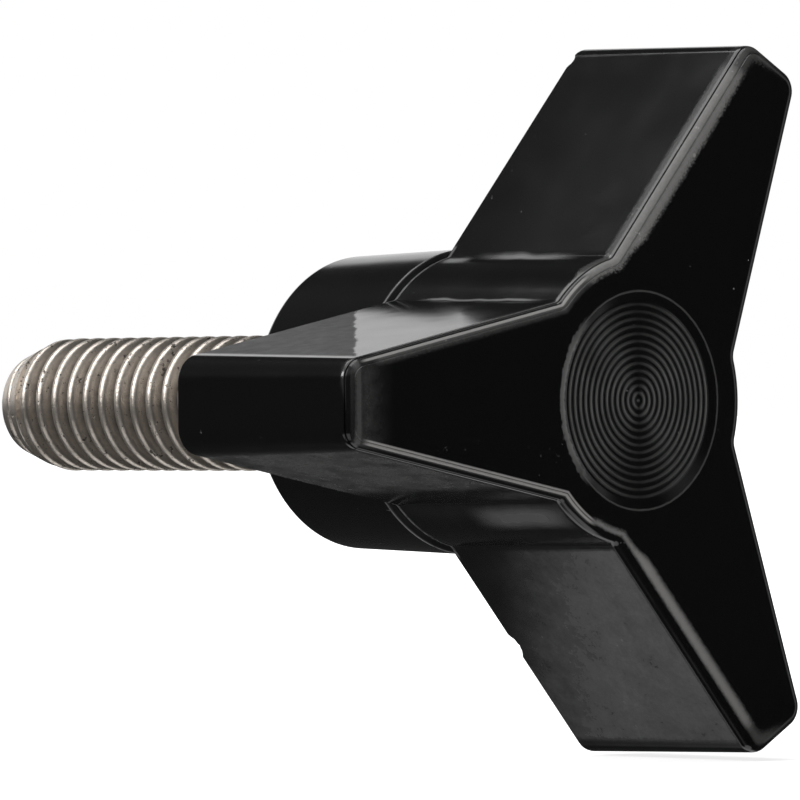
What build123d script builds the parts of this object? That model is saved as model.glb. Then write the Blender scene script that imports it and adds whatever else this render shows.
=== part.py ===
"""Three-arm clamping knob: a black phenolic moulding with a threaded steel stud moulded into its boss.

Millimetres and degrees. The knob's axis is Y: the face that the hand meets looks towards -Y, and the stud
leaves the boss towards +Y. The origin is the middle of the boss's rear face, where the stud comes out.
"""

from build123d import *
from math import cos, hypot, radians, sin, tan
import os

# Stud: a 5/16 inch coarse thread, 1 1/8 inch out of the boss
stud_diameter = 7.9375
stud_projection = 28.575
stud_lead_length = 3.1
stud_lead_diameter = 5.9
stud_end_round = 0.3
thread_pitch = 1.4111
thread_depth = 0.84
thread_crest_share = 0.125
stud_shank_diameter = 7.0
stud_embedded_length = 13.5
anchor_across_flats = 10.3
anchor_length = 4.2
anchor_sides = 6

# Body: arms and hub in front of the parting plane, boss behind it
arm_count = 3
first_arm_angle = 180.0
arm_depth = 13.6
arm_reach = 22.35
arm_tip_width = 5.05
arm_taper_angle = 11.25
arm_corner_radius = 1.5
hub_radius = 8.4
hub_corner_radius = 0.45
arm_draft_angle = 1.28
front_edge_radius = 0.7
rear_edge_radius = 0.28
boss_length = 9.15
boss_rear_radius = 8.4
boss_draft_angle = 1.65
boss_rim_radius = 0.45
boss_front_round = 0.12
boss_recess_diameter = 8.7
boss_recess_depth = 0.5

# Shallow turned dish in the middle of the face
dish_radius = 6.05
dish_depth = 0.22
dish_slope_width = 0.5
ring_pitch = 0.41
ring_height = 0.07

# Chip knocked out of the rear edge of the lowest arm
chip_arm = 1
chip_reach = 13.8
chip_radius = 1.5
chip_depth = 0.42

# Places that follow from the sizes above
stud_radius = stud_diameter / 2
thread_turns = int(stud_projection / thread_pitch)
parting_plane = Plane.XZ.offset(boss_length)
front_plane = Plane.XZ.offset(boss_length + arm_depth)
draft_inset = arm_depth * tan(radians(arm_draft_angle))
taper_slope = tan(radians(arm_taper_angle))
boss_front_radius = boss_rear_radius + boss_length * tan(radians(boss_draft_angle))
anchor_plane = Plane.XZ.offset(stud_embedded_length - anchor_length)


def arm_half_width(reach):
    """Half the width of an arm in the parting plane, at a distance from the knob's axis."""
    return arm_tip_width / 2 + (arm_reach - reach) * taper_slope


def star_outline(plane, inset):
    """Outline of the arms and hub across the axis, drawn in by the inset that the draft gives there."""
    side_inset = inset / cos(radians(arm_taper_angle))
    tip = arm_reach - inset
    tip_half = arm_half_width(tip) - side_inset
    root_half = arm_half_width(0) - side_inset
    with BuildSketch(plane) as outline:
        Circle(hub_radius - inset)
        with PolarLocations(0, arm_count, start_angle=first_arm_angle):
            Polygon((0, -root_half), (tip, -tip_half), (tip, tip_half), (0, root_half), align=None)
        by_distance = outline.vertices().sort_by(lambda corner: hypot(corner.X, corner.Y))
        fillet(by_distance[2 * arm_count :], arm_corner_radius - inset)
        by_distance = outline.vertices().sort_by(lambda corner: hypot(corner.X, corner.Y))
        fillet(by_distance[: 2 * arm_count], hub_corner_radius + inset)
    return outline.sketch


def stud_profile():
    """Half section of the round stud: radius in X, distance out of the boss in Y."""
    shank_radius = stud_shank_diameter / 2
    return [
        (0, -stud_embedded_length),
        (shank_radius, -stud_embedded_length),
        (shank_radius, 0),
        (stud_radius, 0),
        (stud_radius, stud_projection - stud_lead_length),
        (stud_lead_diameter / 2, stud_projection),
        (0, stud_projection),
    ]


def groove_profile():
    """Half section of one groove of the thread about its middle: depth in X, distance along the stud in Y."""
    mouth_half = thread_pitch * (1 - thread_crest_share) / 2
    return [(0, -mouth_half), (0, mouth_half), (-thread_depth, 0)]


def boss_profile():
    """Half section of the boss, from the parting plane to its rear face."""
    return [(0, -boss_length), (boss_front_radius, -boss_length), (boss_rear_radius, 0), (0, 0)]


def dish_profile():
    """Half section of the dish: a plain sloping rim, then turned rings down to the middle."""
    face = -(boss_length + arm_depth)
    floor = face + dish_depth
    ring_start = dish_radius - dish_slope_width
    points = [(0, face), (dish_radius, face), (ring_start, floor)]
    ring_count = int(ring_start / ring_pitch)
    for ring in range(ring_count):
        crest = ring_start - (ring + 1 / 2) * ring_pitch
        points.append((crest, floor - ring_height))
        points.append((crest - ring_pitch / 2, floor))
    points.append((0, floor))
    return points


# Threaded stud: grooves as rings at the thread's pitch, a thinner shank in the boss and a hexagonal anchor
with BuildPart() as threaded_stud:
    with BuildSketch(Plane.XY) as stud_section:
        with BuildLine():
            Polyline(*stud_profile(), close=True)
        make_face()
        tip_corner = stud_section.vertices().sort_by(Axis.Y)[-2:].sort_by(Axis.X)[-1]
        fillet(tip_corner, stud_end_round)
        with Locations([(stud_radius, (turn + 1 / 2) * thread_pitch) for turn in range(thread_turns)]):
            Polygon(*groove_profile(), align=None, mode=Mode.SUBTRACT)
    revolve(axis=Axis.Y)
    with BuildSketch(anchor_plane):
        RegularPolygon(anchor_across_flats / 2, anchor_sides, major_radius=False)
    extrude(amount=anchor_length)

threaded_stud.part.label = "threaded_stud"

# Moulded body
with BuildPart() as knob_body:
    add(star_outline(parting_plane, 0))
    add(star_outline(front_plane, draft_inset))
    loft(ruled=True)
    fillet(knob_body.faces().sort_by(Axis.Y)[0].edges(), front_edge_radius)
    fillet(knob_body.faces().sort_by(Axis.Y)[-1].edges(), rear_edge_radius)

    # Boss behind the arms, a little wider than the hub, with both its rims rounded
    with BuildSketch(Plane.XY) as boss_section:
        with BuildLine():
            Polyline(*boss_profile(), close=True)
        make_face()
        rims = boss_section.vertices().sort_by(Axis.X)[-2:].sort_by(Axis.Y)
        fillet(rims[0], boss_front_round)
        fillet(boss_section.vertices().group_by(Axis.Y)[-1].sort_by(Axis.X)[-1], boss_rim_radius)
    revolve(axis=Axis.Y)

    # Shallow recess in the boss's rear face, where the thread runs out into the shank
    with BuildSketch(Plane.XZ.offset(boss_recess_depth)):
        Circle(boss_recess_diameter / 2)
    extrude(amount=-boss_recess_depth, mode=Mode.SUBTRACT)

    # Dish in the face
    with BuildSketch(Plane.XY):
        with BuildLine():
            Polyline(*dish_profile(), close=True)
        make_face()
    revolve(axis=Axis.Y, mode=Mode.SUBTRACT)

    # Chip in the rear edge of the lowest arm, on the side away from the next arm round
    chip_angle = radians(first_arm_angle + chip_arm * 360 / arm_count)
    chip_side = -(arm_half_width(chip_reach) + (chip_radius - chip_depth) * cos(radians(45)))
    chip_x = chip_reach * cos(chip_angle) - chip_side * sin(chip_angle)
    chip_z = chip_reach * sin(chip_angle) + chip_side * cos(chip_angle)
    chip_y = -boss_length + (chip_radius - chip_depth) * sin(radians(45))
    with Locations((chip_x, chip_y, chip_z)):
        Sphere(chip_radius, mode=Mode.SUBTRACT)

    # Room that the stud fills
    add(threaded_stud.part, mode=Mode.SUBTRACT)

knob_body.part.label = "knob_body"

os.makedirs("parts", exist_ok=True)
export_step(knob_body.part, "parts/knob_body.step")
export_step(threaded_stud.part, "parts/threaded_stud.step")
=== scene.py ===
"""Looks of a three-arm clamping knob: a glossy black phenolic moulding with a rolled steel stud."""

import random
from math import atan2, cos, hypot, pi, radians, sin, sqrt, tan

import bmesh
import bpy
from bpy.props import FloatProperty, FloatVectorProperty, IntProperty, PointerProperty
from mathutils import Matrix, Vector


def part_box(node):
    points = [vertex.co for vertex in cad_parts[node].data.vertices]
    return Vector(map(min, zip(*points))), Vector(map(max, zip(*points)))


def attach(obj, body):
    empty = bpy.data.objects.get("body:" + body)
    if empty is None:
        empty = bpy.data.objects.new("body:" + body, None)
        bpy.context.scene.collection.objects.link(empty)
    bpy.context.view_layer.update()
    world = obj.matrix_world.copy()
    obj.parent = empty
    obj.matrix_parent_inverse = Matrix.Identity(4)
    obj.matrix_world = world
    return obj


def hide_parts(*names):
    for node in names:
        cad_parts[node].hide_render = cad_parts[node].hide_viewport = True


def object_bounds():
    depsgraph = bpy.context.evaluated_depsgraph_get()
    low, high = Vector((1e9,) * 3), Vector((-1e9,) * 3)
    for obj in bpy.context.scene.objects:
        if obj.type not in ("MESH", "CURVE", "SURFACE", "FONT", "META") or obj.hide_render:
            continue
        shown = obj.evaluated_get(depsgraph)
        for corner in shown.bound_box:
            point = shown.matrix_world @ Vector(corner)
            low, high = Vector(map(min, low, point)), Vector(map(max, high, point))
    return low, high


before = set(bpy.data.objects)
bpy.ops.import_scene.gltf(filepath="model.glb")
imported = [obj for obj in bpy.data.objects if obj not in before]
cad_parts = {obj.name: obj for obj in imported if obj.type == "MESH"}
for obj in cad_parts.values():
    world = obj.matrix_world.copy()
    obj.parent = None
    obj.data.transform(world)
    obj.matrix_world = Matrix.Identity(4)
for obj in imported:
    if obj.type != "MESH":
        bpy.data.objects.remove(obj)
CAD_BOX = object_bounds()
BODY_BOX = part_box("knob_body")

bl_info = {
    "name": "Star knob",
    "version": (1, 0, 0),
    "blender": (4, 5, 0),
    "location": "3D View > Sidebar > Star knob",
    "description": "Builds a three-arm phenolic knob, its threaded stud and a white studio",
    "category": "Object",
}

MM = 0.001
KNOB_AXIS = Vector((0, 1, 0))
TURN_STEPS = 144
THREAD_STEPS = 72
CORNER_SEGMENTS = 8
EDGE_SEGMENTS = 8
HUB_ARC_STEPS = 10
ROOT_ROUNDS = 8
RING_POINTS = 10
SPARE_TURNS = 3
ANCHOR_SIDES = 6
BALL_SUBDIVISIONS = 4
MOULDING_SHARP = radians(20)
STUD_SHARP = radians(50)
SPECK_GROUP = "scattered specks"
CHIP_SEED = 5
RIM_SEED = 3
CHIP_ROUGHNESS = 0.02
RIM_ROUGHNESS = (0.6, 1.1)
BREAK_FROM = 0.62

# Distances that count as the same place, and small gaps and overlaps between shapes
WELD = 0.0005 * MM
OUTLINE_WELD = 0.001 * MM
LEVEL_SLACK = 0.012 * MM
CUT_SLACK = 0.0001 * MM
SEAT_GAP = 0.01 * MM
FLOOR_GAP = 0.2 * MM
CORE_OVERLAP = 0.2 * MM

# Bends of the outline that are rounded, and the sharper ones at the arms' ends
HUB_BEND = radians(165)
TIP_BEND = radians(120)

# Rows of the front edge's rounding that hold the fine lines, and their ends round the axis
WITNESS_ROW = 6
FAINT_ROW = 2
WITNESS_FROM = radians(-38)
WITNESS_TO = radians(118)

# Rubbed skin on the stretches of the front edge: left arm over and under, upper arm, lower arm, right side.
# Millimetres past the rounding on the face, start on the flank, share, and raggedness of the border
RUBBED_PAST = (-0.12, -0.25, 0.1, 0.3, -0.2)
RUBBED_FROM = (-0.7, -0.1, -1.12, 0.35, -0.56)
RUBBED_SHARE = (0.5, 0.25, 1.0, 1.0, 0.1)
RUBBED_RAGGED = (0.35, 0.2, 0.9, 0.4, 0.5)

# Stage in metres: place and size of the lamps, half the floor, and the camera, its sensor in millimetres
SENSOR_WIDTH = 36
CLIP_START = 10 * MM
FLOOR_HALF = 3
OVERHEAD_LAMP = ((-0.1, 0.2, 0.9), 0.8)
KEY_LAMP = ((-0.8, 0.4, 0.45), 0.3)

# Bright places in the room, as reflections see them: left, right and soft border in degrees from straight
# behind the knob, low, high and soft border of the rise, share, and the setting with the brightness
BACKDROP = (-66, 12, 10, 0.05, 0.42, 0.10)
ROOM_LIGHTS = (
    (1, 16, 4, -0.72, -0.50, 0.06, 1.0, "table_glow"),
    (-150, -92, 8, 0.36, 0.84, 0.18, 1.0, "window_glow"),
    (58, 78, 8, -0.33, 0.33, 0.20, 1.0, "card_glow"),
    (-175, -95, 10, -0.85, -0.48, 0.10, 2.5, "front_glow"),
)

# Way from the bright to the dulled part of the left arm's upper flank
DULL_SIDE = (-0.728, 0.685, 0.0)

# Painted highlights in streaks on the hub, in the fillets beside the arms: low, high and soft angle round the
# axis, rear, front and soft ends along it, share
HUB_HIGHLIGHTS = (
    (74.5, 78.0, 4, 13.0, 18.5, 3.5, 1.0),
    (70.0, 75.0, 4, 9.8, 11.5, 1.0, 1.0),
    (42.6, 44.0, 1, 12.0, 20.5, 2.0, 0.7),
    (-58.0, -47.0, 8, 15.5, 21.5, 3.0, 0.5),
)

# Single nicks in the face and its edge: place and size in millimetres
NICKS = (
    ((4.4, -22.75, 13.65), 0.17),
    ((7.45, -22.75, 6.2), 0.06),
    ((8.65, -22.75, 7.8), 0.05),
)

# One pitch of the thread, from groove to groove: share of the pitch, share of the groove's depth
THREAD_SHARES = (
    (0.0, 0.0), (0.06, 0.02), (0.11, 0.10), (0.24, 0.60), (0.28, 0.76), (0.32, 0.87), (0.37, 0.94),
    (0.44, 0.985), (0.5, 1.0), (0.56, 0.985), (0.63, 0.94), (0.68, 0.87), (0.72, 0.76), (0.76, 0.60),
    (0.89, 0.10), (0.94, 0.02), (1.0, 0.0),
)


def length(name, value_mm, description):
    """A size in millimetres, kept as a Blender length."""
    return FloatProperty(
        name=name, description=description, default=value_mm * MM, unit="LENGTH", precision=5
    )


def angle(name, value_degrees, description):
    """An angle in degrees, kept as a Blender angle."""
    return FloatProperty(name=name, description=description, default=radians(value_degrees), unit="ROTATION")


def glow(name, value, description):
    """A lamp's power, or a brightness in which 1 is white."""
    return FloatProperty(name=name, description=description, default=value, min=0)


def colour(name, value, description):
    """A linear colour."""
    return FloatVectorProperty(
        name=name, description=description, default=value, size=3, min=0, max=1, subtype="COLOR"
    )


class MouldingSizes(bpy.types.PropertyGroup):
    """Sizes of the phenolic moulding."""

    arm_count: IntProperty(name="Arms", description="Number of arms", default=3, min=2, max=8)
    arm_reach: length("Arm reach", 22.35, "Distance of an arm's end from the axis, at the parting plane")
    arm_tip_width: length("Arm end width", 5.05, "Width of an arm's end, at the parting plane")
    arm_taper: angle("Arm taper", 11.25, "Slope of an arm's flank against the arm")
    arm_draft: angle("Arm draft", 1.28, "Slope of the flanks towards the face")
    arm_corner: length("Arm corner", 1.5, "Rounding of an arm's end, seen along the axis")
    hub_radius: length("Hub radius", 8.4, "Radius of the hub between the arms")
    hub_corner: length("Hub corner", 0.45, "Rounding where an arm meets the hub")
    front_edge: length("Front edge", 0.7, "Rounding of the rubbed front edges")
    rear_edge: length("Rear edge", 0.28, "Rounding of the arms' rear edges")
    witness_depth: length("Witness line depth", 0.07, "Depth of the fine line in the front edge")
    witness_width: length("Witness line width", 0.10, "Width of that line")
    boss_length: length("Boss length", 9.15, "Length of the round boss behind the arms")
    boss_radius: length("Boss radius", 8.4, "Radius of the boss at its rear face")
    boss_draft: angle("Boss draft", 1.65, "Slope of the boss's side")
    boss_rim: length("Boss rim", 0.45, "Rounding of the boss's rear rim")
    ledge_round: length("Ledge rounding", 0.12, "Rounding of the ledge where the boss stands out of the hub")
    ledge_dip: length("Ledge dip", 0.04, "How far the ledge runs in under the hub's rear edge")
    recess_radius: length("Recess radius", 4.35, "Radius of the recess round the stud")
    recess_depth: length("Recess depth", 0.5, "Depth of the recess round the stud")
    dish_radius: length("Dish radius", 6.05, "Radius of the turned dish in the face")
    dish_depth: length("Dish depth", 0.22, "Depth of the dish")
    dish_slope: length("Dish slope", 0.5, "Width of the dish's sloping rim")
    ring_pitch: length("Ring pitch", 0.41, "Distance between the turned rings")
    ring_height: length("Ring height", 0.07, "Height of the turned rings")
    rim_break: length("Rim break", 0.3, "How far the dish's rim has broken out on the left")
    chip_reach: length("Chip place", 13.8, "Distance of the chip from the axis, along the lowest arm")
    chip_radius: length("Chip radius", 1.5, "Radius of the chip's hollow")
    chip_depth: length("Chip depth", 0.42, "Depth of the chip in the edge")
    nick_reach: length("Nick place", 21.0, "Distance of the nick from the axis, along the upper arm")
    nick_radius: length("Nick radius", 0.8, "Radius of the nick's hollow")
    nick_depth: length("Nick depth", 0.34, "Depth of the nick in the edge")


class StudSizes(bpy.types.PropertyGroup):
    """Sizes of the threaded stud."""

    outside_radius: length("Outside radius", 3.96875, "Radius over the thread's crests")
    groove_depth: length("Groove depth", 0.84, "Depth of the thread")
    pitch: length("Pitch", 25.4 / 18, "Distance between crests, 18 to the inch")
    projection: length("Projection", 28.575, "Length out of the boss")
    lead_length: length("Lead length", 3.1, "Length of the tapered end")
    lead_radius: length("Lead radius", 2.95, "Radius at the end of the taper")
    end_round: length("End rounding", 0.3, "Rounding of the stud's end")
    shank_radius: length("Shank radius", 3.5, "Radius of the plain shank in the boss")
    embedded_length: length("Embedded length", 13.5, "Length inside the boss")
    anchor_radius: length("Anchor radius", 5.15, "Half the width across the flats of the hexagonal end")
    anchor_length: length("Anchor length", 4.2, "Length of the hexagonal end")


class FinishColours(bpy.types.PropertyGroup):
    """Colours of the knob's finishes."""

    phenolic: colour("Phenolic", (0.0036, 0.0036, 0.0039), "Glossy black moulding")
    # Also the colour of the painted highlights on the hub and along the parting plane
    hazed_and_highlight: colour("Hazed flank", (0.17, 0.17, 0.17), "Moulding dulled by handling on its flanks")
    # Also the colour of the painted highlights in the dish
    rubbed_and_highlight: colour("Rubbed edge", (0.22, 0.22, 0.215), "Moulding rubbed matt along its front edges")
    # Also the colour of the painted highlights along the front edges
    dust_and_highlight: colour("Dust", (0.42, 0.41, 0.40), "Pale specks")
    steel: colour("Steel", (0.64, 0.582, 0.52), "Bare rolled steel")
    # Also the colour of the painted shade in the thread's grooves
    shade_and_pit_grime: colour("Grime", (0.055, 0.048, 0.042), "Grime in the thread's grooves and pits")
    floor: colour("Floor", (0.80, 0.80, 0.80), "Pale studio floor")


class StudioSettings(bpy.types.PropertyGroup):
    """The camera's place and the light."""

    azimuth: angle("Azimuth", -43.268, "Turn of the camera round the knob, from the front")
    elevation: angle("Elevation", 0.121, "Height of the camera over the horizon")
    roll: angle("Roll", -0.556, "Turn of the picture")
    distance: length("Distance", 437.625, "Distance of the camera from the boss's rear face")
    aim_right: length("Aim right", 2.248, "How far the picture's middle lies right of the boss's rear face")
    aim_up: length("Aim up", 0.1437, "How far the picture's middle lies over the boss's rear face")
    lens: FloatProperty(name="Lens", description="Focal length", default=342.1, unit="CAMERA", min=1)
    overhead_power: glow("Overhead lamp", 5.3, "Power in watts of the large lamp above")
    key_power: glow("Key lamp", 3.0, "Power in watts of the lamp at the left and behind")
    backdrop_glow: glow("Backdrop glow", 0.9, "Brightness of the white backdrop in reflections")
    ceiling_glow: glow("Ceiling glow", 0.05, "Brightness of the ceiling at the left in reflections")
    card_glow: glow("Card glow", 0.45, "Brightness of the white card on the right in reflections")
    table_glow: glow("Table glow", 0.95, "Brightness of the table's far edge in reflections")
    window_glow: glow("Window glow", 1.7, "Brightness of the window at the left in reflections")
    floor_glow: glow("Floor glow", 1.0, "Brightness of the floor right below in reflections")
    front_glow: glow("Front glow", 0.32, "Brightness of the room in front in reflections, high and low")
    room_glow: glow("Room glow", 0.035, "Brightness of the dark room in reflections")


# Shaping


def new_piece(name, bm):
    """Turns a bmesh into an object at the origin, with its faces outwards."""
    bmesh.ops.remove_doubles(bm, verts=bm.verts[:], dist=WELD)
    bmesh.ops.recalc_face_normals(bm, faces=bm.faces[:])
    mesh = bpy.data.meshes.new(name)
    bm.to_mesh(mesh)
    bm.free()
    piece = bpy.data.objects.new(name, mesh)
    bpy.context.scene.collection.objects.link(piece)
    return piece


def wire(bm, points):
    """Joins points by edges, and returns the new vertices."""
    verts = [bm.verts.new(point) for point in points]
    for first, second in zip(verts, verts[1:]):
        bm.edges.new((first, second))
    return verts


def bend(vert):
    """Angle between the two edges of a wire at a vertex."""
    first, second = [edge.other_vert(vert).co - vert.co for edge in vert.link_edges]
    return first.angle(second)


def bevel(bm, geom, offset, segments, affect):
    """Rounds edges of a solid, or corners of a wire."""
    return bmesh.ops.bevel(
        bm,
        geom=geom,
        offset=offset,
        offset_type="OFFSET",
        segments=segments,
        profile=0.5,
        affect=affect,
        material=-1,
    )


def round_corner(bm, vert, radius):
    """Rounds the corner that two edges of a wire make at a vertex."""
    bevel(bm, [vert], radius / tan(bend(vert) / 2), CORNER_SEGMENTS, "VERTICES")


def turned(name, profile, rounds=()):
    """Turns a half section about the knob's axis: pairs of radius and place, some corners rounded."""
    bm = bmesh.new()
    corners = wire(bm, [(radius, along, 0) for radius, along in profile])
    for corner, radius in rounds:
        round_corner(bm, corners[corner], radius)
    section = bm.verts[:] + bm.edges[:]
    bmesh.ops.spin(
        bm, geom=section, cent=(0, 0, 0), axis=KNOB_AXIS, angle=2 * pi, steps=TURN_STEPS, use_merge=True
    )
    return new_piece(name, bm)


def combine(piece, tool, operation):
    """Joins a tool to a piece, or cuts it out of the piece, and removes the tool."""
    joint = piece.modifiers.new("combine", "BOOLEAN")
    joint.object = tool
    joint.operation = operation
    joint.solver = "EXACT"
    graph = bpy.context.evaluated_depsgraph_get()
    shaped = bpy.data.meshes.new_from_object(piece.evaluated_get(graph))
    piece.modifiers.remove(joint)
    piece.data = shaped
    bpy.data.objects.remove(tool)


def finish_piece(piece, sharp, material, node):
    """Shades a piece smooth but for its flat faces, and gives it its material and its place in the frame."""
    piece.data.shade_smooth()
    piece.data.set_sharp_from_angle(angle=sharp)
    flatten = piece.modifiers.new("flat faces", "WEIGHTED_NORMAL")
    flatten.keep_sharp = True
    piece.data.materials.clear()
    piece.data.materials.append(material)
    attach(piece, "root")
    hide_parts(node)


# Moulding


def star_prism(sizes):
    """Arms and hub between the parting plane and the face, with their rounded edges."""
    slope = tan(sizes.arm_taper)
    tip_half = sizes.arm_tip_width / 2
    root = sizes.hub_radius
    for _ in range(ROOT_ROUNDS):
        root_half = tip_half + (sizes.arm_reach - root) * slope
        root = sqrt(sizes.hub_radius**2 - root_half**2)
    tip = sizes.arm_reach
    corners = ((root, -root_half), (tip, -tip_half), (tip, tip_half), (root, root_half))
    gap = 2 * pi / sizes.arm_count - 2 * atan2(root_half, root)
    bm = bmesh.new()
    for arm in range(sizes.arm_count):
        turn = Matrix.Rotation(pi + arm * 2 * pi / sizes.arm_count, 3, KNOB_AXIS)
        outline = wire(bm, [turn @ Vector((out, -sizes.boss_length, -across)) for out, across in corners])
        bmesh.ops.spin(bm, geom=outline[-1:], cent=(0, 0, 0), axis=KNOB_AXIS, angle=gap, steps=HUB_ARC_STEPS)
    bmesh.ops.remove_doubles(bm, verts=bm.verts[:], dist=OUTLINE_WELD)
    for vert in [vert for vert in bm.verts if bend(vert) < HUB_BEND]:
        at_tip = bend(vert) < TIP_BEND
        round_corner(bm, vert, sizes.arm_corner if at_tip else sizes.hub_corner)

    # The face is drawn in by the draft and stands off along the axis
    front = bmesh.ops.contextual_create(bm, geom=bm.edges[:])["faces"][0]
    front.normal_update()
    if front.normal.y > 0:
        front.normal_flip()
    depth = -BODY_BOX[0].y - sizes.boss_length
    bmesh.ops.inset_region(
        bm,
        faces=[front],
        thickness=depth * tan(sizes.arm_draft),
        depth=depth,
        use_even_offset=True,
        use_boundary=True,
    )
    rear_edges = [edge for edge in bm.edges if edge.is_boundary]
    front_edges = list(front.edges)
    bmesh.ops.edgeloop_fill(bm, edges=rear_edges)
    bmesh.ops.recalc_face_normals(bm, faces=bm.faces[:])
    bevel(bm, front_edges, sizes.front_edge, EDGE_SEGMENTS, "EDGES")
    level = -sizes.boss_length - SEAT_GAP
    rear_edges = [edge for edge in bm.edges if min(vert.co.y for vert in edge.verts) > level]
    bevel(bm, rear_edges, sizes.rear_edge, CORNER_SEGMENTS // 2, "EDGES")
    scribe_line(bm, sizes, WITNESS_ROW, sizes.witness_depth)
    scribe_line(bm, sizes, FAINT_ROW, sizes.witness_depth / 2)
    return new_piece("phenolic_knob", bm)


def scribe_line(bm, sizes, segment, depth):
    """Cuts a fine line along the front edge of the left and upper arms, on one row of its rounding."""
    level = BODY_BOX[0].y + sizes.front_edge * (1 - cos(pi / 2 * segment / EDGE_SEGMENTS))
    row = []
    for edge in bm.edges:
        middle = (edge.verts[0].co + edge.verts[1].co) / 2
        at_level = all(abs(vert.co.y - level) < LEVEL_SLACK for vert in edge.verts)
        if at_level and WITNESS_FROM < atan2(middle.z, -middle.x) < WITNESS_TO:
            row.append(edge)
    strip = bevel(bm, row, sizes.witness_width / 2, 2, "EDGES")
    faces = set(strip["faces"])
    bm.normal_update()
    for vert in strip["verts"]:
        if faces.issuperset(vert.link_faces):
            vert.co -= vert.normal * depth


def boss(sizes):
    """Round boss behind the arms, a little wider than the hub, with its recess for the stud."""
    wide = sizes.boss_radius + sizes.boss_length * tan(sizes.boss_draft)
    inner = sizes.hub_radius - 2 * sizes.rear_edge
    profile = (
        (0, -sizes.boss_length - sizes.ledge_dip),
        (inner, -sizes.boss_length - sizes.ledge_dip),
        (wide, -sizes.boss_length),
        (sizes.boss_radius, 0),
        (sizes.recess_radius, 0),
        (sizes.recess_radius, -sizes.recess_depth),
        (0, -sizes.recess_depth),
    )
    return turned("boss", profile, ((2, sizes.ledge_round), (3, sizes.boss_rim)))


def dish_cutter(sizes):
    """Shape of the dish with its turned rings, to be cut out of the face."""
    face = BODY_BOX[0].y
    floor = face + sizes.dish_depth
    start = sizes.dish_radius - sizes.dish_slope
    outside = face - sizes.dish_depth
    profile = [(0, outside), (sizes.dish_radius + sizes.dish_slope, outside), (start, floor)]
    for point in range(1, RING_POINTS * int(start / sizes.ring_pitch) + 1):
        share = point / RING_POINTS
        rise = sizes.ring_height * (1 - cos(2 * pi * share)) / 2
        profile.append((start - share * sizes.ring_pitch, floor - rise))
    profile.append((0, floor))
    cutter = turned("dish cutter", profile)
    chance = random.Random(RIM_SEED)
    for vert in cutter.data.vertices:
        radius = hypot(vert.co.x, vert.co.z)
        if radius > sizes.dish_radius:
            leftward = max(0, -vert.co.x / radius - BREAK_FROM) / (1 - BREAK_FROM)
            wider = 1 + 2 * sizes.rim_break * leftward * chance.uniform(*RIM_ROUGHNESS) / radius
            vert.co.x *= wider
            vert.co.z *= wider
    return cutter


def chip_cutter(sizes, side, reach, radius, depth):
    """Rough ball that leaves a chip in the rear edge of the upper arm at side 1, of the lower at side -1."""
    turn = Matrix.Rotation(side * (pi + 2 * pi / sizes.arm_count), 3, KNOB_AXIS)
    half = sizes.arm_tip_width / 2 + (sizes.arm_reach - reach) * tan(sizes.arm_taper)
    out = (radius - depth) * cos(pi / 4)
    place = turn @ Vector((reach, 0, side * (half + out)))
    place.y = -sizes.boss_length + out
    bm = bmesh.new()
    bmesh.ops.create_icosphere(bm, subdivisions=BALL_SUBDIVISIONS, radius=radius)
    chance = random.Random(CHIP_SEED)
    for vert in bm.verts:
        vert.co = place + vert.co * (1 + chance.uniform(-CHIP_ROUGHNESS, CHIP_ROUGHNESS))
    return new_piece("chip cutter", bm)


# Stud


def rod(name, sides, radius, low, high, turn=0):
    """Straight bar along the knob's axis, between two places on it."""
    lie = Matrix.Rotation(-pi / 2, 4, "X") @ Matrix.Rotation(turn, 4, "Z")
    bm = bmesh.new()
    bmesh.ops.create_cone(
        bm,
        cap_ends=True,
        segments=sides,
        radius1=radius,
        radius2=radius,
        depth=high - low,
        matrix=Matrix.Translation((0, (low + high) / 2, 0)) @ lie,
    )
    return new_piece(name, bm)


def stud_core(sizes, name, top):
    """Plain shank and hexagonal anchor that sit inside the boss."""
    low = -sizes.embedded_length
    core = rod(name, TURN_STEPS, sizes.shank_radius, low, top)
    corner = sizes.anchor_radius / cos(pi / ANCHOR_SIDES)
    low -= SEAT_GAP
    anchor = rod("anchor", ANCHOR_SIDES, corner, low, low + sizes.anchor_length, pi / ANCHOR_SIDES)
    combine(core, anchor, "UNION")
    return core


def thread(sizes):
    """Right-hand rolled thread, cut off square at the boss and tapered at its free end."""
    bm = bmesh.new()
    groove = sizes.outside_radius - sizes.groove_depth
    start = -sizes.pitch
    wire(bm, [(groove + up * sizes.groove_depth, start + on * sizes.pitch, 0) for on, up in THREAD_SHARES])
    turns = int(sizes.projection / sizes.pitch) + SPARE_TURNS
    bmesh.ops.spin(
        bm,
        geom=bm.verts[:] + bm.edges[:],
        cent=(0, 0, 0),
        axis=KNOB_AXIS,
        dvec=KNOB_AXIS * sizes.pitch / THREAD_STEPS,
        angle=2 * pi * turns,
        steps=THREAD_STEPS * turns,
    )
    bmesh.ops.remove_doubles(bm, verts=bm.verts[:], dist=OUTLINE_WELD)
    for place, keep in ((0, -1), (sizes.projection, 1)):
        bmesh.ops.bisect_plane(
            bm,
            geom=bm.verts[:] + bm.edges[:] + bm.faces[:],
            dist=CUT_SLACK,
            plane_co=KNOB_AXIS * place,
            plane_no=KNOB_AXIS * keep,
            clear_outer=True,
        )
    lead_start = sizes.projection - sizes.lead_length
    slope = (sizes.outside_radius - sizes.lead_radius) / sizes.lead_length
    for vert in bm.verts:
        limit = sizes.outside_radius - max(0, vert.co.y - lead_start) * slope
        into_round = max(0, vert.co.y - sizes.projection + sizes.end_round)
        limit -= sizes.end_round - sqrt(max(0, sizes.end_round**2 - into_round**2))
        radius = hypot(vert.co.x, vert.co.z)
        if radius > limit:
            vert.co.x *= limit / radius
            vert.co.z *= limit / radius
    open_edges = [edge for edge in bm.edges if edge.is_boundary]
    bmesh.ops.edgeloop_fill(bm, edges=open_edges)
    return new_piece("rolled_thread_stud", bm)


# Materials


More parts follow.
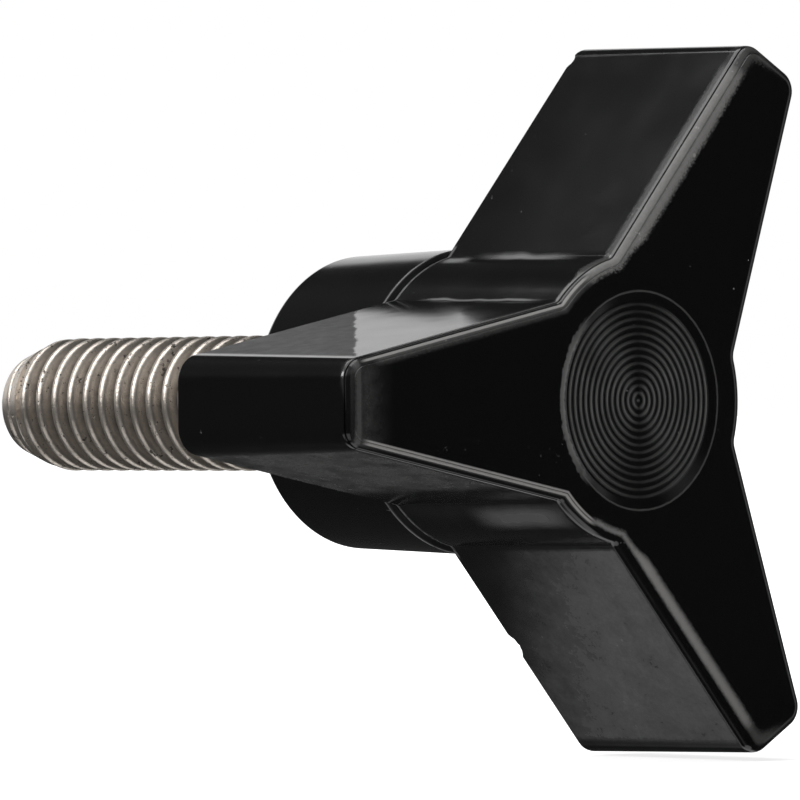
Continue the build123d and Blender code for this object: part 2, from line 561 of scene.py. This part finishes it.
class Graph:
    """Adds nodes to a node tree and joins them."""

    def __init__(self, tree):
        self.tree = tree
        self.tree.nodes.clear()

    def node(self, kind, inputs=(), **settings):
        """Adds a node. Inputs are pairs of a socket's name or number and a value or another node's output."""
        made = self.tree.nodes.new(kind)
        for name, value in settings.items():
            setattr(made, name, value)
        for name, value in inputs:
            if isinstance(value, bpy.types.NodeSocket):
                self.tree.links.new(value, made.inputs[name])
            else:
                made.inputs[name].default_value = value
        return made

    def math(self, operation, *values, clamp=False):
        """One sum, and its result."""
        return self.node("ShaderNodeMath", enumerate(values), operation=operation, use_clamp=clamp).outputs[0]

    def chain(self, operation, values, clamp):
        """Joins values one after the other by the same sum."""
        total, *others = values
        for value in others:
            total = self.math(operation, total, value, clamp=clamp)
        return total

    def plus(self, *values, clamp=False):
        """The sum of some values."""
        return self.chain("ADD", values, clamp)

    def times(self, *values, clamp=False):
        """The product of some values."""
        return self.chain("MULTIPLY", values, clamp)

    def most(self, *values, clamp=False):
        """The largest of some values."""
        return self.chain("MAXIMUM", values, clamp)

    def minus(self, first, second):
        """The difference of two values."""
        return self.math("SUBTRACT", first, second)

    def plus_share(self, total, value, share):
        """A total with a share of a value on top."""
        return self.math("MULTIPLY_ADD", value, share, total)

    def split(self, place):
        """The three parts of a place."""
        return self.node("ShaderNodeSeparateXYZ", ((0, place),)).outputs

    def scale(self, place, share):
        """A place or colour times a share."""
        inputs = ((0, place), ("Scale", share))
        return self.node("ShaderNodeVectorMath", inputs, operation="SCALE").outputs[0]

    def fade(self, value, low, high):
        """A smooth rise from 0 to 1 while the value goes from low to high."""
        inputs = (("Value", value), ("From Min", low), ("From Max", high))
        return self.node("ShaderNodeMapRange", inputs, interpolation_type="SMOOTHSTEP").outputs[0]

    def between(self, value, low, high):
        """A share turned into a value between two ends."""
        inputs = (("Value", value), ("To Min", low), ("To Max", high))
        return self.node("ShaderNodeMapRange", inputs).outputs[0]

    def window(self, value, low, high, soft):
        """1 between two ends and 0 outside them, with soft borders."""
        above = self.fade(value, low - soft / 2, low + soft / 2)
        below = self.fade(value, high + soft / 2, high - soft / 2)
        return self.times(above, below)

    def along(self, place, way):
        """How far a place lies along a way."""
        inputs = ((0, place), (1, way))
        return self.node("ShaderNodeVectorMath", inputs, operation="DOT_PRODUCT").outputs["Value"]

    def mix(self, factor, first, second):
        """A blend of two colours."""
        inputs = ((0, factor), (6, first), (7, second))
        return self.node("ShaderNodeMix", inputs, data_type="RGBA").outputs[2]

    def noise(self, place, scale, detail=2.0, roughness=0.5):
        """Soft noise over a place in millimetres."""
        inputs = (("Vector", place), ("Scale", scale), ("Detail", detail), ("Roughness", roughness))
        return self.node("ShaderNodeTexNoise", inputs).outputs["Fac"]

    def blend(self, factor, first, second):
        """A blend of two values."""
        inputs = ((0, factor), (2, first), (3, second))
        return self.node("ShaderNodeMix", inputs, data_type="FLOAT").outputs[0]

    def by_edge(self, shares, values):
        """One value for each stretch of the outline, faded into the next."""
        total = 0.0
        for share, value in zip(shares, values):
            total = self.plus_share(total, share, value)
        return total

    def from_axis(self, split):
        """Distance of a place from the knob's axis."""
        squares = [self.math("POWER", split[part], 2.0) for part in (0, 2)]
        return self.math("SQRT", self.plus(*squares))

    def bump(self, height, strength, distance_mm, others=()):
        """A normal bent by a height."""
        inputs = (("Height", height), ("Strength", strength), ("Distance", distance_mm * MM), *others)
        return self.node("ShaderNodeBump", inputs).outputs[0]

    def surface(self, shader):
        """Joins a shader to the material's output."""
        self.node("ShaderNodeOutputMaterial", (("Surface", shader.outputs[0]),))


def opaque(value):
    """A colour property as a node's colour."""
    return (*value, 1.0)


def new_material(name):
    """A material with a node tree of its own, and the object's place in millimetres."""
    material = bpy.data.materials.new(name)
    material.use_nodes = True
    graph = Graph(material.node_tree)
    here = graph.node("ShaderNodeTexCoord").outputs["Object"]
    return material, graph, graph.scale(here, 1 / MM)


def speck_group():
    """Group for small specks or pits, made once: a mask of scattered spots."""
    if SPECK_GROUP in bpy.data.node_groups:
        return bpy.data.node_groups[SPECK_GROUP]
    group = bpy.data.node_groups.new(SPECK_GROUP, "ShaderNodeTree")
    group.interface.new_socket("Place", in_out="INPUT", socket_type="NodeSocketVector")
    for name, way in (("Scale", "INPUT"), ("Share", "INPUT"), ("Mask", "OUTPUT")):
        group.interface.new_socket(name, in_out=way, socket_type="NodeSocketFloat")
    graph = Graph(group)
    given = graph.node("NodeGroupInput").outputs
    fine = graph.noise(given["Place"], given["Scale"], 3.0, 0.65)
    broad = graph.noise(given["Place"], graph.times(given["Scale"], 0.23), 1.0)
    level = graph.minus(graph.plus(fine, graph.times(broad, 0.5)), 0.25)
    edge = graph.minus(1.0, given["Share"])
    mask = graph.fade(level, edge, graph.plus(edge, 0.06))
    graph.node("NodeGroupOutput", (("Mask", mask),))
    return group


def specks(graph, place, scale, share):
    """Places the speck group in a material, and gives its mask."""
    inputs = (("Place", place), ("Scale", scale), ("Share", share))
    return graph.node("ShaderNodeGroup", inputs, node_tree=speck_group()).outputs["Mask"]


def front_edge_coordinates(graph, place, sizes):
    """Where a place lies against the front edge of the arms.

    Gives millimetres across the edge, over 0 on the face and under 0 down the flank, millimetres from the
    nearest arm's end, and the angle round the axis, 0 on the left arm and growing upwards.
    """
    depth = -BODY_BOX[0].y - sizes.boss_length
    inset = depth * tan(sizes.arm_draft)
    slope = tan(sizes.arm_taper)
    reach = (sizes.arm_reach - inset) / MM
    half = (sizes.arm_tip_width / 2 - inset / cos(sizes.arm_taper) + inset * slope) / MM
    sector = 2 * pi / sizes.arm_count
    split = graph.split(place)
    turn = graph.math("ARCTAN2", split[2], graph.times(split[0], -1.0))
    steps = graph.math("ROUND", graph.math("DIVIDE", turn, sector))
    folded = graph.minus(turn, graph.times(steps, sector))
    radius = graph.from_axis(split)
    along = graph.times(radius, graph.math("COSINE", folded))
    aside = graph.math("ABSOLUTE", graph.times(radius, graph.math("SINE", folded)))
    from_end = graph.minus(reach, along)
    wide = graph.plus(graph.times(from_end, slope), half)
    from_side = graph.times(graph.minus(wide, aside), cos(sizes.arm_taper))
    in_arm = graph.math("SMOOTH_MIN", from_side, from_end, 0.8)
    in_hub = graph.minus((sizes.hub_radius - inset) / MM, radius)
    inside = graph.most(in_arm, in_hub)
    behind = graph.minus(split[1], BODY_BOX[0].y / MM)
    return graph.minus(inside, behind), from_end, turn


def edge_shares(graph, turn):
    """One mask for each stretch of the outline: left arm over and under, upper arm, lower arm, right side."""
    soft = radians(8)
    return (
        graph.window(turn, 0, radians(60), soft),
        graph.window(turn, radians(-60), 0, soft),
        graph.window(turn, radians(60), radians(120), soft),
        graph.window(turn, radians(-120), radians(-60), soft),
        graph.fade(graph.math("ABSOLUTE", turn), radians(116), radians(124)),
    )


def rubbed_band(graph, place, sizes, across, from_end, shares):
    """Share of rubbed skin along the front edge: wide on the upper arm, narrow elsewhere, faint on the right.

    Gives the soft band, dimmed by painted shade on the upper arm's flank side; its palest places, painted
    highlights, with the crisp painted highlight lines along the left arm; and the fine line along its groove,
    kept black.
    """
    on_left = graph.plus(shares[0], shares[1], clamp=True)
    edge = sizes.front_edge / MM
    face_limit = graph.by_edge(shares, [edge + past for past in RUBBED_PAST])
    flank_limit = graph.by_edge(shares, RUBBED_FROM)

    # Wider away from the upper arm's end, and narrower where the arms meet the hub
    wider = graph.times(shares[2], graph.fade(from_end, 2.0, 7.0))
    at_root = graph.times(graph.fade(from_end, 14.0, 15.6), graph.plus(shares[2], shares[3]))
    face_limit = graph.plus_share(graph.plus_share(face_limit, wider, 0.12), at_root, -0.35)
    fringe = graph.noise(place, 9.0, 4.0, 0.7)
    wander = graph.times(graph.minus(fringe, 0.5), graph.by_edge(shares, RUBBED_RAGGED))
    on_face = graph.fade(graph.plus(graph.minus(across, face_limit), wander), 0.25, -0.25)
    on_flank = graph.fade(graph.plus(graph.minus(across, flank_limit), wander), -0.1, 0.25)
    near_end = graph.fade(from_end, 2.6, 1.6)
    band = graph.times(on_face, on_flank, graph.by_edge(shares, RUBBED_SHARE))
    band = graph.times(band, graph.between(near_end, 1.0, 0.25))

    # On the upper arm the band is duller before the fine line, painted shade where the key lamp lights the
    # flank side, and painted highlights make it palest past the line and on the face; the lower arm's face
    # side gets a painted highlight too
    painted_flank_shade = graph.times(graph.fade(across, -0.32, -0.46), shares[2])
    band = graph.times(band, graph.between(painted_flank_shade, 1.0, 0.3))
    painted_face_highlight = graph.times(graph.window(across, -0.3, 0.28, 0.12), 0.25)
    painted_face_highlight = graph.times(graph.plus_share(painted_face_highlight, graph.window(across, 0.46, 2.0, 0.12), 0.5), shares[2])
    on_lower = graph.times(graph.fade(across, 0.15, 0.65), shares[3])
    painted_face_highlight = graph.times(graph.plus_share(painted_face_highlight, on_lower, 0.65), band)

    # On the left arm the middle of the rounding kept its gloss, so the edge shows as two lines
    glossy = graph.times(graph.window(across, -0.28, 0.08, 0.14), on_left)
    band = graph.times(band, graph.between(glossy, 1.0, 0.1))

    # Crisp painted highlight lines, two along the lower edge and one along the upper
    under = graph.plus(graph.window(across, 0.46, 0.58, 0.1), graph.window(across, 0.2, 0.38, 0.1))
    over = graph.window(across, -0.08, 0.14, 0.12)
    highlight_lines = graph.plus(graph.times(under, shares[1]), graph.times(over, shares[0]))
    highlight_lines = graph.times(highlight_lines, graph.between(graph.noise(place, 1.7, 3.0), 0.7, 1.6), clamp=True)
    highlight_lines = graph.times(highlight_lines, graph.fade(from_end, 0.9, 1.6))

    # Soft grey patches on the face at the end of the left arm, with paler spots
    blotch = graph.fade(graph.noise(place, 1.1, 3.0, 0.6), 0.30, 0.72)
    reach = graph.plus(from_end, graph.times(wander, 0.9))
    patch = graph.times(graph.fade(reach, 0.3, 0.8), graph.fade(reach, 3.4, 0.7))
    patch = graph.times(patch, graph.between(blotch, 0.45, 1.0))
    streak = graph.times(graph.window(reach, 1.2, 1.6, 0.4), graph.fade(fringe, 0.5, 0.66))
    rim = graph.times(graph.window(reach, 0.5, 0.95, 0.3), 0.45)
    patch = graph.most(graph.plus(graph.times(patch, 0.3), graph.times(streak, 0.15)), rim)
    patch = graph.times(patch, on_left, on_flank)
    groove = graph.times(graph.window(across, -0.41, -0.35, 0.06), graph.plus(on_left, shares[2]))
    return graph.most(band, patch, clamp=True), graph.most(highlight_lines, painted_face_highlight), groove


def hazed_flanks(graph, place, sizes, across, from_end, shares):
    """Share of dulled skin on the arms' flanks: on the lower arm, and on the left arm behind and below."""
    split = graph.split(place)
    parting = -sizes.boss_length / MM
    mottle = graph.minus(graph.noise(place, 0.5, 5.0, 0.65), 0.5)
    on_arm = graph.times(graph.fade(across, -0.6, -0.9), graph.fade(from_end, 15.8, 15.4))
    in_front = graph.fade(split[1], parting, parting - 0.1)
    on_arm = graph.times(on_arm, graph.fade(from_end, 1.0, 1.6), in_front)

    # Strongest on the lower arm, towards its front edge and the hub, with a faint patch on the upper arm
    lower = graph.minus(graph.times(split[1], -1.0), graph.times(from_end, 0.55))
    lower = graph.times(graph.fade(graph.plus(lower, graph.times(mottle, 1.5)), 3.0, 13.0), shares[3])
    blotchy = graph.plus(mottle, graph.minus(graph.noise(place, 1.9, 5.0, 0.7), 0.5))
    lower = graph.times(lower, graph.between(graph.plus(blotchy, 0.5), 0.3, 1.1))
    faint = graph.times(graph.fade(from_end, 2.0, 11.0), graph.fade(split[1], -10.5, -16.5))
    faint = graph.times(faint, shares[2], graph.between(mottle, 0.5, 2.0))
    lower = graph.plus(lower, graph.times(faint, 0.07))

    # On the left arm the upper flank is dull behind, and the lower flank as far as the hub
    behind = graph.plus(graph.along(place, DULL_SIDE), graph.times(mottle, 0.9))
    upper = graph.times(graph.fade(behind, 0.05, 0.3), shares[0])
    under = graph.times(graph.fade(mottle, -0.35, 0.1), shares[1], graph.fade(from_end, 13.0, 11.2))
    return [graph.times(haze_and_highlight, on_arm) for haze_and_highlight in (lower, upper, under)]


def painted_hub_highlights(graph, place, turn):
    """Share of painted highlight in soft streaks on the hub, beside the arms."""
    forward = graph.along(place, (0.0, -1.0, 0.0))
    radius = graph.from_axis(graph.split(place))
    waver = graph.times(graph.minus(graph.noise(place, 0.5, 1.0), 0.5), radians(3))
    turn = graph.plus(turn, waver)
    total = 0.0
    for low, high, soft, rear, front, ends, share in HUB_HIGHLIGHTS:
        across = graph.window(turn, radians(low), radians(high), radians(soft))
        streak = graph.times(across, graph.window(forward, rear, front, ends))
        total = graph.plus_share(total, streak, share)
    return graph.times(total, graph.fade(radius, 8.9, 8.6))


def parting_highlights(graph, place, sizes):
    """Share of painted highlight in two fine lines, one on each side of the parting plane, over a faint
    painted lightening of the shaded band between them.
    """
    split = graph.split(place)
    behind = graph.plus(split[1], sizes.boss_length / MM)
    highlight_lines = graph.plus(graph.window(behind, -0.42, -0.22, 0.1), graph.window(behind, 0.05, 0.18, 0.1))
    highlight_lines = graph.times(highlight_lines, graph.between(graph.noise(place, 1.5), 0.1, 0.9))
    # Faint painted light over the dark shaded band at the ledge
    highlight_lines = graph.most(highlight_lines, graph.times(graph.window(behind, -0.4, 0.15, 0.1), 0.12))
    return graph.times(highlight_lines, graph.window(graph.from_axis(split), 8.1, 8.9, 0.2))


def painted_dish_highlights(graph, place, sizes, turn):
    """Share of painted highlight in the dish: on its rings, on its outer edge and in the broken rim on the
    left.
    """
    split = graph.split(place)
    radius = graph.from_axis(split)
    leftward = graph.math("COSINE", turn)
    face = BODY_BOX[0].y / MM
    start = (sizes.dish_radius - sizes.dish_slope) / MM
    outer = sizes.dish_radius / MM
    ring = graph.math("FRACT", graph.math("DIVIDE", graph.minus(start, radius), sizes.ring_pitch / MM))
    crests = graph.times(graph.window(ring, 0.3, 0.7, 0.3), graph.fade(radius, start, start - 0.1))
    # The painted ring highlights are strongest at the dish's left and right and faint at its top and bottom
    sideways = graph.between(graph.math("ABSOLUTE", leftward), 0.1, 0.6)
    crests = graph.times(crests, sideways, graph.between(graph.noise(place, 0.45, 2.0), 0.35, 1.65))
    fray = graph.times(graph.minus(graph.noise(place, 3.0, 4.0, 0.65), 0.5), 0.5)
    frayed = graph.plus_share(radius, fray, 0.15)
    edge = graph.times(graph.window(frayed, outer - 0.03, outer + 0.07, 0.08), 0.4)
    crescent = graph.window(graph.plus(radius, fray), outer - 0.3, outer + 0.22, 0.15)
    crescent = graph.times(crescent, graph.fade(leftward, 0.62, 0.9), 0.8)
    highlights = graph.most(crests, edge, crescent)
    return graph.times(highlights, graph.fade(split[1], face + 0.6, face + 0.4))


def pale_nicks(graph, place):
    """Share of pale skin in a few single nicks."""
    total = 0.0
    for middle, size in NICKS:
        inputs = ((0, place), (1, middle))
        away = graph.node("ShaderNodeVectorMath", inputs, operation="DISTANCE").outputs["Value"]
        total = graph.plus(total, graph.fade(away, size, size / 2))
    return total


def phenolic_material(sizes, colours):
    """Glossy black moulding, a little wavy, dulled on its flanks and rubbed matt along its front edges, with
    painted highlights on the hub, at the parting plane, in the dish and along the front edges, and painted
    shade on the upper arm's edge.
    """
    material, graph, place = new_material("black_phenolic")
    across, from_end, turn = front_edge_coordinates(graph, place, sizes)
    shares = edge_shares(graph, turn)
    band, highlight_lines, groove = rubbed_band(graph, place, sizes, across, from_end, shares)
    lower, upper, under = hazed_flanks(graph, place, sizes, across, from_end, shares)
    patchy = graph.between(graph.noise(place, 3.2, 4.0, 0.65), 0.55, 1.25)
    rubbed_and_highlight = graph.times(band, patchy, clamp=True)
    flecks = graph.times(specks(graph, place, 5.0, 0.33), band, shares[2])
    specks_and_highlights = graph.times(specks(graph, place, 2.2, 0.235), 0.35)
    haze_and_highlight = graph.most(lower, graph.times(under, 0.5))
    scuffed = graph.between(graph.noise(place, 6.0, 5.0, 0.7), 0.6, 1.3)
    haze_and_highlight = graph.times(haze_and_highlight, scuffed, clamp=True)
    # Painted highlights in streaks on the hub, kept off the arms
    hub_highlights = graph.times(painted_hub_highlights(graph, place, turn), graph.fade(across, -0.7, -1.0))
    # The hazed colour also paints the highlights on the hub and along the parting plane
    haze_and_highlight = graph.most(haze_and_highlight, hub_highlights, parting_highlights(graph, place, sizes), clamp=True)
    # The painted highlights in the dish take the rubbed colour
    rubbed_and_highlight = graph.most(rubbed_and_highlight, painted_dish_highlights(graph, place, sizes, turn))
    # Pale nicks and the painted highlights along the front edges join the specks
    specks_and_highlights = graph.most(specks_and_highlights, pale_nicks(graph, place), highlight_lines)
    base = graph.mix(haze_and_highlight, opaque(colours.phenolic), opaque(colours.hazed_and_highlight))
    base = graph.mix(rubbed_and_highlight, base, opaque(colours.rubbed_and_highlight))
    base = graph.mix(graph.most(flecks, specks_and_highlights), base, opaque(colours.dust_and_highlight))
    base = graph.mix(groove, base, opaque(colours.phenolic))

    cloud = graph.noise(place, 0.35, 3.0)
    rough = graph.between(cloud, 0.07, 0.17)
    rough = graph.blend(upper, rough, graph.between(graph.noise(place, 1.2, 4.0, 0.6), 0.32, 0.55))
    rough = graph.blend(haze_and_highlight, rough, 0.45)
    rough = graph.blend(band, rough, 0.5)
    sheen = graph.between(graph.most(groove, graph.times(band, 0.7)), 0.5, 0.1)

    # Shallow waves of the moulded skin, and the grain of the rubbed edge
    waves = graph.noise(place, 0.22, 2.0)
    grain = graph.times(graph.noise(place, 7.0, 3.0), band)
    bump = graph.bump(grain, 0.5, 0.03, (("Normal", graph.bump(waves, 0.35, 0.06)),))
    shader = graph.node(
        "ShaderNodeBsdfPrincipled",
        (
            ("Base Color", base),
            ("Roughness", rough),
            ("IOR", 1.55),
            ("Specular IOR Level", sheen),
            ("Normal", bump),
        ),
    )
    graph.surface(shader)
    return material


def steel_material(sizes, colours):
    """Dull rolled steel, pitted, with painted shade darkening it patchily towards the bottom of the thread's
    grooves.
    """
    material, graph, place = new_material("stud_steel")
    split = graph.split(place)
    radius = graph.from_axis(split)
    taper = (sizes.outside_radius - sizes.lead_radius) / sizes.lead_length
    into_lead = graph.minus(split[1], (sizes.projection - sizes.lead_length) / MM)
    drop = graph.times(graph.most(into_lead, 0.0), taper)
    below = graph.minus(graph.minus(sizes.outside_radius / MM, drop), radius)
    end = sizes.projection / MM
    on_thread = graph.fade(split[1], end - 0.03, end - 0.15)
    deep = graph.times(graph.fade(below, 0.12, 0.75), on_thread)
    cloud = graph.noise(place, 1.3, 4.0, 0.6)
    # Painted shade: the colour darkens with depth into the grooves, patchily; the pits take the same dark
    # colour
    groove_shade = graph.times(deep, graph.between(cloud, 0.35, 1.25), clamp=True)
    pits = graph.most(specks(graph, place, 2.6, 0.35), specks(graph, place, 5.5, 0.34))
    shade_and_pit_grime = graph.most(groove_shade, graph.times(pits, 0.9))
    shade = graph.between(graph.noise(place, 4.0, 5.0, 0.7), 0.7, 1.25)
    base = graph.mix(shade_and_pit_grime, graph.scale(colours.steel[:], shade), opaque(colours.shade_and_pit_grime))
    rough = graph.between(graph.plus(graph.times(cloud, 0.5), shade_and_pit_grime), 0.25, 0.52)
    shiny = graph.between(deep, 0.92, 0.8)
    grain = graph.noise(place, 9.0, 3.0, 0.6)
    height = graph.minus(grain, graph.times(pits, 1.6))
    bump = graph.bump(height, 0.6, 0.04)
    shader = graph.node(
        "ShaderNodeBsdfPrincipled",
        (("Base Color", base), ("Roughness", rough), ("Metallic", shiny), ("Normal", bump)),
    )
    graph.surface(shader)
    return material


def floor_material(colours):
    """Pale floor that the camera sees as white, with the knob's shadow on it."""
    material, graph, place = new_material("pale_floor")
    tone = graph.between(graph.noise(place, 0.004, 2.0), 0.98, 1.0)
    matt = graph.node("ShaderNodeBsdfDiffuse", (("Color", graph.scale(colours.floor[:], tone)),))
    seen = graph.node("ShaderNodeLightPath").outputs["Is Camera Ray"]
    away = graph.node("ShaderNodeVectorMath", ((0, place),), operation="LENGTH").outputs["Value"]
    lift = graph.between(graph.fade(away, 60, 220), 0.78, 1.0)
    white = graph.node("ShaderNodeEmission", (("Strength", graph.times(seen, lift)),))
    both = graph.node("ShaderNodeAddShader", ((0, matt.outputs[0]), (1, white.outputs[0])))
    graph.surface(both)
    return material


# Stage


def room_place(graph, aside, rise, left, right, border, low, high, soft):
    """Share of a bright place in the room, by its degrees from straight behind and its rise."""
    across = graph.window(aside, radians(left), radians(right), radians(border))
    return graph.times(across, graph.window(rise, low, high, soft))


def studio_world(settings):
    """White to the camera. In reflections a white backdrop stands behind, in a room dark at the horizon."""
    world = bpy.data.worlds.new("white studio")
    world.use_nodes = True
    bpy.context.scene.world = world
    graph = Graph(world.node_tree)
    way = graph.node("ShaderNodeTexCoord").outputs["Generated"]
    turn = settings.azimuth
    back = graph.along(way, (-sin(turn), cos(turn), 0))
    right = graph.along(way, (cos(turn), sin(turn), 0))
    aside = graph.math("ARCTAN2", right, back)
    rise = graph.split(way)[2]

    # Ceiling at the left, floor right below and room over the camera, then the single bright places
    ceiling = graph.times(graph.fade(aside, radians(-18), radians(-48)), graph.fade(rise, 0.15, 0.50))
    floor = graph.window(aside, radians(-60), radians(28), radians(12))
    floor = graph.most(graph.times(floor, graph.fade(rise, -0.70, -0.84)), graph.fade(rise, -0.94, -0.975))
    above = graph.times(graph.fade(back, -0.05, -0.4), graph.fade(rise, 0.3, 0.65))
    tone = graph.plus_share(settings.room_glow, ceiling, settings.ceiling_glow)
    tone = graph.plus_share(tone, floor, settings.floor_glow)
    tone = graph.plus_share(tone, above, settings.front_glow)
    for *limits, share, name in ROOM_LIGHTS:
        bright = room_place(graph, aside, rise, *limits)
        tone = graph.plus_share(tone, bright, share * getattr(settings, name))
    tone = graph.blend(room_place(graph, aside, rise, *BACKDROP), tone, settings.backdrop_glow)
    path = graph.node("ShaderNodeLightPath").outputs
    seen = graph.most(path["Is Camera Ray"], path["Is Transmission Ray"])
    strength = graph.blend(seen, tone, 1.0)
    background = graph.node("ShaderNodeBackground", (("Color", (1, 1, 1, 1)), ("Strength", strength)))
    graph.node("ShaderNodeOutputWorld", (("Surface", background.outputs[0]),))


def area_lamp(name, place, size, power):
    """Soft square lamp that looks at the knob."""
    lamp = bpy.data.lights.new(name, "AREA")
    lamp.size = size
    lamp.energy = power
    holder = bpy.data.objects.new(name, lamp)
    holder.location = place
    holder.rotation_euler = (-Vector(place)).to_track_quat("-Z", "Y").to_euler()
    bpy.context.scene.collection.objects.link(holder)


def photo_camera(settings):
    """Camera at the photograph's angle."""
    turn, rise, roll = settings.azimuth, settings.elevation, settings.roll
    right = Vector((cos(turn), sin(turn), 0))
    back = Vector((sin(turn) * cos(rise), -cos(turn) * cos(rise), sin(rise)))
    up = back.cross(right)
    tilted_right = right * cos(roll) + up * sin(roll)
    tilted_up = up * cos(roll) - right * sin(roll)
    lens = bpy.data.cameras.new("photo camera")
    lens.lens = settings.lens
    lens.sensor_width = SENSOR_WIDTH
    lens.clip_start = CLIP_START
    camera = bpy.data.objects.new("photo camera", lens)
    place = back * settings.distance + tilted_right * settings.aim_right + tilted_up * settings.aim_up
    axes = Matrix((tilted_right, tilted_up, back)).transposed()
    camera.matrix_world = Matrix.Translation(place) @ axes.to_4x4()
    bpy.context.scene.collection.objects.link(camera)
    bpy.context.scene.camera = camera


# Operators


class KNOB_OT_moulding(bpy.types.Operator):
    """Build the phenolic moulding: arms, hub, boss and dish"""

    bl_idname = "knob.moulding"
    bl_label = "Phenolic moulding"

    def execute(self, context):
        sizes = context.scene.knob_moulding
        piece = star_prism(sizes)
        combine(piece, boss(sizes), "UNION")
        combine(piece, dish_cutter(sizes), "DIFFERENCE")
        chip = chip_cutter(sizes, -1, sizes.chip_reach, sizes.chip_radius, sizes.chip_depth)
        combine(piece, chip, "DIFFERENCE")
        nick = chip_cutter(sizes, 1, sizes.nick_reach, sizes.nick_radius, sizes.nick_depth)
        combine(piece, nick, "DIFFERENCE")
        combine(piece, stud_core(context.scene.knob_stud, "stud room", 0), "DIFFERENCE")
        material = phenolic_material(sizes, context.scene.knob_colours)
        finish_piece(piece, MOULDING_SHARP, material, "knob_body")
        return {"FINISHED"}


class KNOB_OT_stud(bpy.types.Operator):
    """Build the threaded steel stud"""

    bl_idname = "knob.stud"
    bl_label = "Threaded stud"

    def execute(self, context):
        sizes = context.scene.knob_stud
        piece = thread(sizes)
        combine(piece, stud_core(sizes, "stud core", CORE_OVERLAP), "UNION")
        material = steel_material(sizes, context.scene.knob_colours)
        finish_piece(piece, STUD_SHARP, material, "threaded_stud")
        return {"FINISHED"}


class KNOB_OT_studio(bpy.types.Operator):
    """Set up the floor, the light and the camera"""

    bl_idname = "knob.studio"
    bl_label = "White studio"

    def execute(self, context):
        settings = context.scene.knob_studio
        bm = bmesh.new()
        lowest = CAD_BOX[0].z - FLOOR_GAP
        bmesh.ops.create_grid(bm, size=FLOOR_HALF, matrix=Matrix.Translation((0, 0, lowest)))
        floor = new_piece("pale_floor", bm)
        floor.data.materials.append(floor_material(context.scene.knob_colours))
        floor.visible_glossy = False
        studio_world(settings)
        area_lamp("overhead lamp", *OVERHEAD_LAMP, settings.overhead_power)
        area_lamp("key lamp", *KEY_LAMP, settings.key_power)
        photo_camera(settings)
        context.scene.view_settings.view_transform = "Standard"
        return {"FINISHED"}


class KNOB_PT_sidebar(bpy.types.Panel):
    """Buttons and sizes of the star knob"""

    bl_idname = "KNOB_PT_sidebar"
    bl_label = "Star knob"
    bl_space_type = "VIEW_3D"
    bl_region_type = "UI"
    bl_category = "Star knob"

    def draw(self, context):
        scene = context.scene
        for operator in OPERATORS:
            self.layout.operator(operator.bl_idname)
        for settings in (scene.knob_moulding, scene.knob_stud, scene.knob_colours, scene.knob_studio):
            box = self.layout.box()
            for name in settings.__annotations__:
                box.prop(settings, name)


SETTINGS = {
    "knob_moulding": MouldingSizes,
    "knob_stud": StudSizes,
    "knob_colours": FinishColours,
    "knob_studio": StudioSettings,
}
OPERATORS = (KNOB_OT_moulding, KNOB_OT_stud, KNOB_OT_studio)


def register():
    """Registers the settings, the operators and the panel."""
    for cls in (*SETTINGS.values(), *OPERATORS, KNOB_PT_sidebar):
        bpy.utils.register_class(cls)
    for name, cls in SETTINGS.items():
        setattr(bpy.types.Scene, name, PointerProperty(type=cls))


def unregister():
    """Takes the add-on out again."""
    for name in SETTINGS:
        delattr(bpy.types.Scene, name)
    for cls in (KNOB_PT_sidebar, *OPERATORS, *SETTINGS.values()):
        bpy.utils.unregister_class(cls)


def main():
    register()
    bpy.ops.knob.moulding()
    bpy.ops.knob.stud()
    bpy.ops.knob.studio()


if __name__ == "__main__":
    main()
